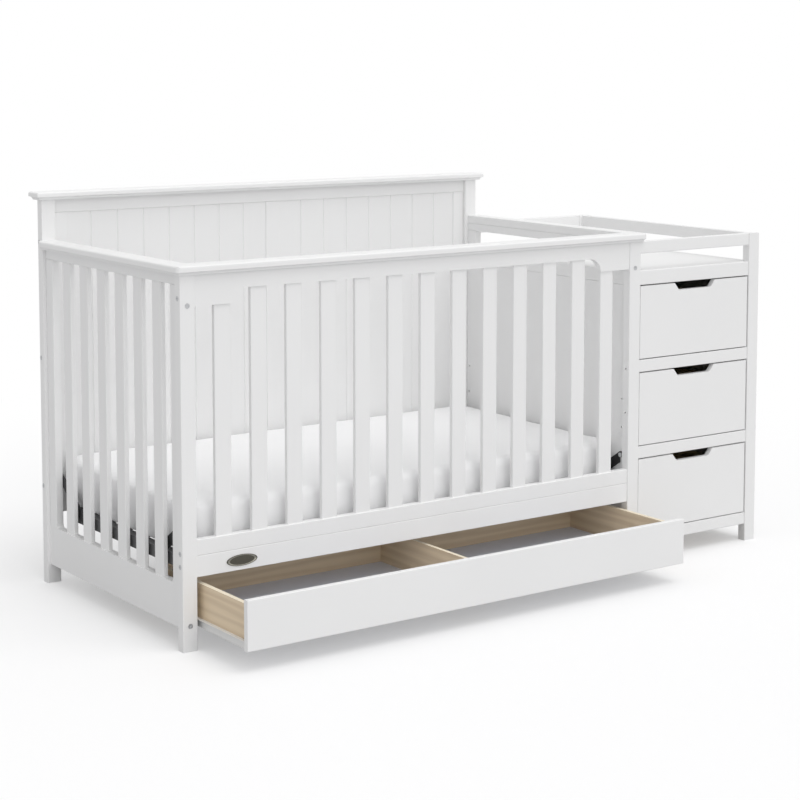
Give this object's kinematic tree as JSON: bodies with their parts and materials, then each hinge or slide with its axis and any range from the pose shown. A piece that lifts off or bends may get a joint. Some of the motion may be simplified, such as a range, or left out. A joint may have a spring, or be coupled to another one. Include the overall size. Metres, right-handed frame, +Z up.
{
  "type": "crib with attached changer",
  "caption": "White convertible crib with slatted front and end, panelled headboard, mattress and under-crib drawer, joined to a changing tray over drawers with finger cut-outs.",
  "frame": {"origin": "Middle of the whole outline at the floor, with the crib drawer part open as modelled.", "axes": "X runs to the right along the front, from crib to changer; Y runs from the front to the headboard; Z is up."},
  "size_m": [1.8466, 0.983, 1.015],
  "materials": {
    "white_paint": "white satin paint on wood",
    "birch": "clear lacquered light wood",
    "board_grey": "plain grey faced hardboard",
    "back_board": "white faced hardboard",
    "slide_white": "white baked enamel",
    "roller_plastic": "moulded nylon",
    "black_steel": "black powder coat",
    "bolt_steel": "zinc plated",
    "plate_bronze": "dark bronze satin",
    "mattress_cloth": "plain white cotton cover"
  },
  "bodies": {
    "frame": {"front_left_leg": "white_paint", "front_right_leg": "white_paint", "back_left_post": "white_paint", "back_right_post": "white_paint", "front_top_rail": "white_paint", "front_slats": "white_paint", "front_bottom_rail": "white_paint", "front_apron": "white_paint", "oval_plate": "plate_bronze", "front_cap": "white_paint", "side_caps": "white_paint", "end_top_rail": "white_paint", "end_stiles": "white_paint", "end_slats": "white_paint", "end_bottom_board": "white_paint", "headboard_rails": "white_paint", "headboard_stiles": "white_paint", "headboard_panels": "white_paint", "headboard_cap": "white_paint", "divide_frame": "white_paint", "divide_board": "white_paint", "changer_right_side": "white_paint", "changer_posts": "white_paint", "changer_front_rails": "white_paint", "changer_back_panel": "back_board", "tray_aprons": "white_paint", "changing_top": "white_paint", "guard_rails": "white_paint", "slide_battens": "birch", "cabinet_slide_rails": "slide_white", "frame_bolts": "bolt_steel", "barrel_nuts": "bolt_steel", "hanger_bolts": "bolt_steel"},
    "mattress_support": {"support_frame": "black_steel", "support_bands": "black_steel", "support_hangers": "black_steel"},
    "mattress": {"mattress": "mattress_cloth"},
    "crib_drawer": {"crib_drawer_front": "white_paint", "crib_drawer_box": "birch", "crib_drawer_divider": "birch", "crib_drawer_bottoms": "board_grey", "crib_drawer_rails": "slide_white"},
    "top_drawer": {"top_drawer_front": "white_paint", "top_drawer_box": "birch", "top_drawer_rails": "slide_white"},
    "middle_drawer": {"middle_drawer_front": "white_paint", "middle_drawer_box": "birch", "middle_drawer_rails": "slide_white"},
    "bottom_drawer": {"bottom_drawer_front": "white_paint", "bottom_drawer_box": "birch", "bottom_drawer_rails": "slide_white"},
    "crib_front_rollers": {"crib_fixed_rollers": "roller_plastic"},
    "crib_back_rollers": {"crib_moving_rollers": "roller_plastic"},
    "top_front_rollers": {"top_fixed_rollers": "roller_plastic"},
    "top_back_rollers": {"top_moving_rollers": "roller_plastic"},
    "middle_front_rollers": {"middle_fixed_rollers": "roller_plastic"},
    "middle_back_rollers": {"middle_moving_rollers": "roller_plastic"},
    "bottom_front_rollers": {"bottom_fixed_rollers": "roller_plastic"},
    "bottom_back_rollers": {"bottom_moving_rollers": "roller_plastic"}
  },
  "joints": [
    {"name": "mattress_height", "type": "slide", "parent": "frame", "child": "mattress_support", "axis": [0, 0, 1], "range_m": [0, 0.152]},
    {"name": "mattress_lift", "type": "slide", "parent": "mattress_support", "child": "mattress", "axis": [0, 0, 1], "range_m": [0, 0.5]},
    {"name": "crib_drawer_slide", "type": "slide", "parent": "frame", "child": "crib_drawer", "axis": [0, -1, 0], "range_m": [-0.223, 0.077]},
    {"name": "crib_front_roller_turn", "type": "hinge", "parent": "frame", "child": "crib_front_rollers", "pos_m": [-0.21225, -0.2395, 0.0615], "axis": [1, 0, 0], "range_deg": [-1425, 500]},
    {"name": "crib_back_roller_turn", "type": "hinge", "parent": "crib_drawer", "child": "crib_back_rollers", "pos_m": [-0.21225, -0.084, 0.06], "axis": [1, 0, 0], "range_deg": [-1710, 595]},
    {"name": "top_drawer_slide", "type": "slide", "parent": "frame", "child": "top_drawer", "axis": [0, -1, 0], "range_m": [0, 0.3]},
    {"name": "top_front_roller_turn", "type": "hinge", "parent": "frame", "child": "top_front_rollers", "pos_m": [0.6835, -0.2395, 0.5635], "axis": [1, 0, 0], "range_deg": [-5, 1915]},
    {"name": "top_back_roller_turn", "type": "hinge", "parent": "top_drawer", "child": "top_back_rollers", "pos_m": [0.6835, 0.139, 0.562], "axis": [1, 0, 0], "range_deg": [-5, 2300]},
    {"name": "middle_drawer_slide", "type": "slide", "parent": "frame", "child": "middle_drawer", "axis": [0, -1, 0], "range_m": [0, 0.3]},
    {"name": "middle_front_roller_turn", "type": "hinge", "parent": "frame", "child": "middle_front_rollers", "pos_m": [0.6835, -0.2395, 0.329], "axis": [1, 0, 0], "range_deg": [-5, 1915]},
    {"name": "middle_back_roller_turn", "type": "hinge", "parent": "middle_drawer", "child": "middle_back_rollers", "pos_m": [0.6835, 0.139, 0.3275], "axis": [1, 0, 0], "range_deg": [-5, 2300]},
    {"name": "bottom_drawer_slide", "type": "slide", "parent": "frame", "child": "bottom_drawer", "axis": [0, -1, 0], "range_m": [0, 0.3]},
    {"name": "bottom_front_roller_turn", "type": "hinge", "parent": "frame", "child": "bottom_front_rollers", "pos_m": [0.6835, -0.2395, 0.0945], "axis": [1, 0, 0], "range_deg": [-5, 1915]},
    {"name": "bottom_back_roller_turn", "type": "hinge", "parent": "bottom_drawer", "child": "bottom_back_rollers", "pos_m": [0.6835, 0.139, 0.093], "axis": [1, 0, 0], "range_deg": [-5, 2300]}
  ],
  "couplings": [
    {"joint": "crib_front_roller_turn", "follows": "crib_drawer_slide", "rad_per_m": 111.11},
    {"joint": "crib_back_roller_turn", "follows": "crib_drawer_slide", "rad_per_m": 133.33},
    {"joint": "top_front_roller_turn", "follows": "top_drawer_slide", "rad_per_m": 111.11},
    {"joint": "top_back_roller_turn", "follows": "top_drawer_slide", "rad_per_m": 133.33},
    {"joint": "middle_front_roller_turn", "follows": "middle_drawer_slide", "rad_per_m": 111.11},
    {"joint": "middle_back_roller_turn", "follows": "middle_drawer_slide", "rad_per_m": 133.33},
    {"joint": "bottom_front_roller_turn", "follows": "bottom_drawer_slide", "rad_per_m": 111.11},
    {"joint": "bottom_back_roller_turn", "follows": "bottom_drawer_slide", "rad_per_m": 133.33}
  ]
}
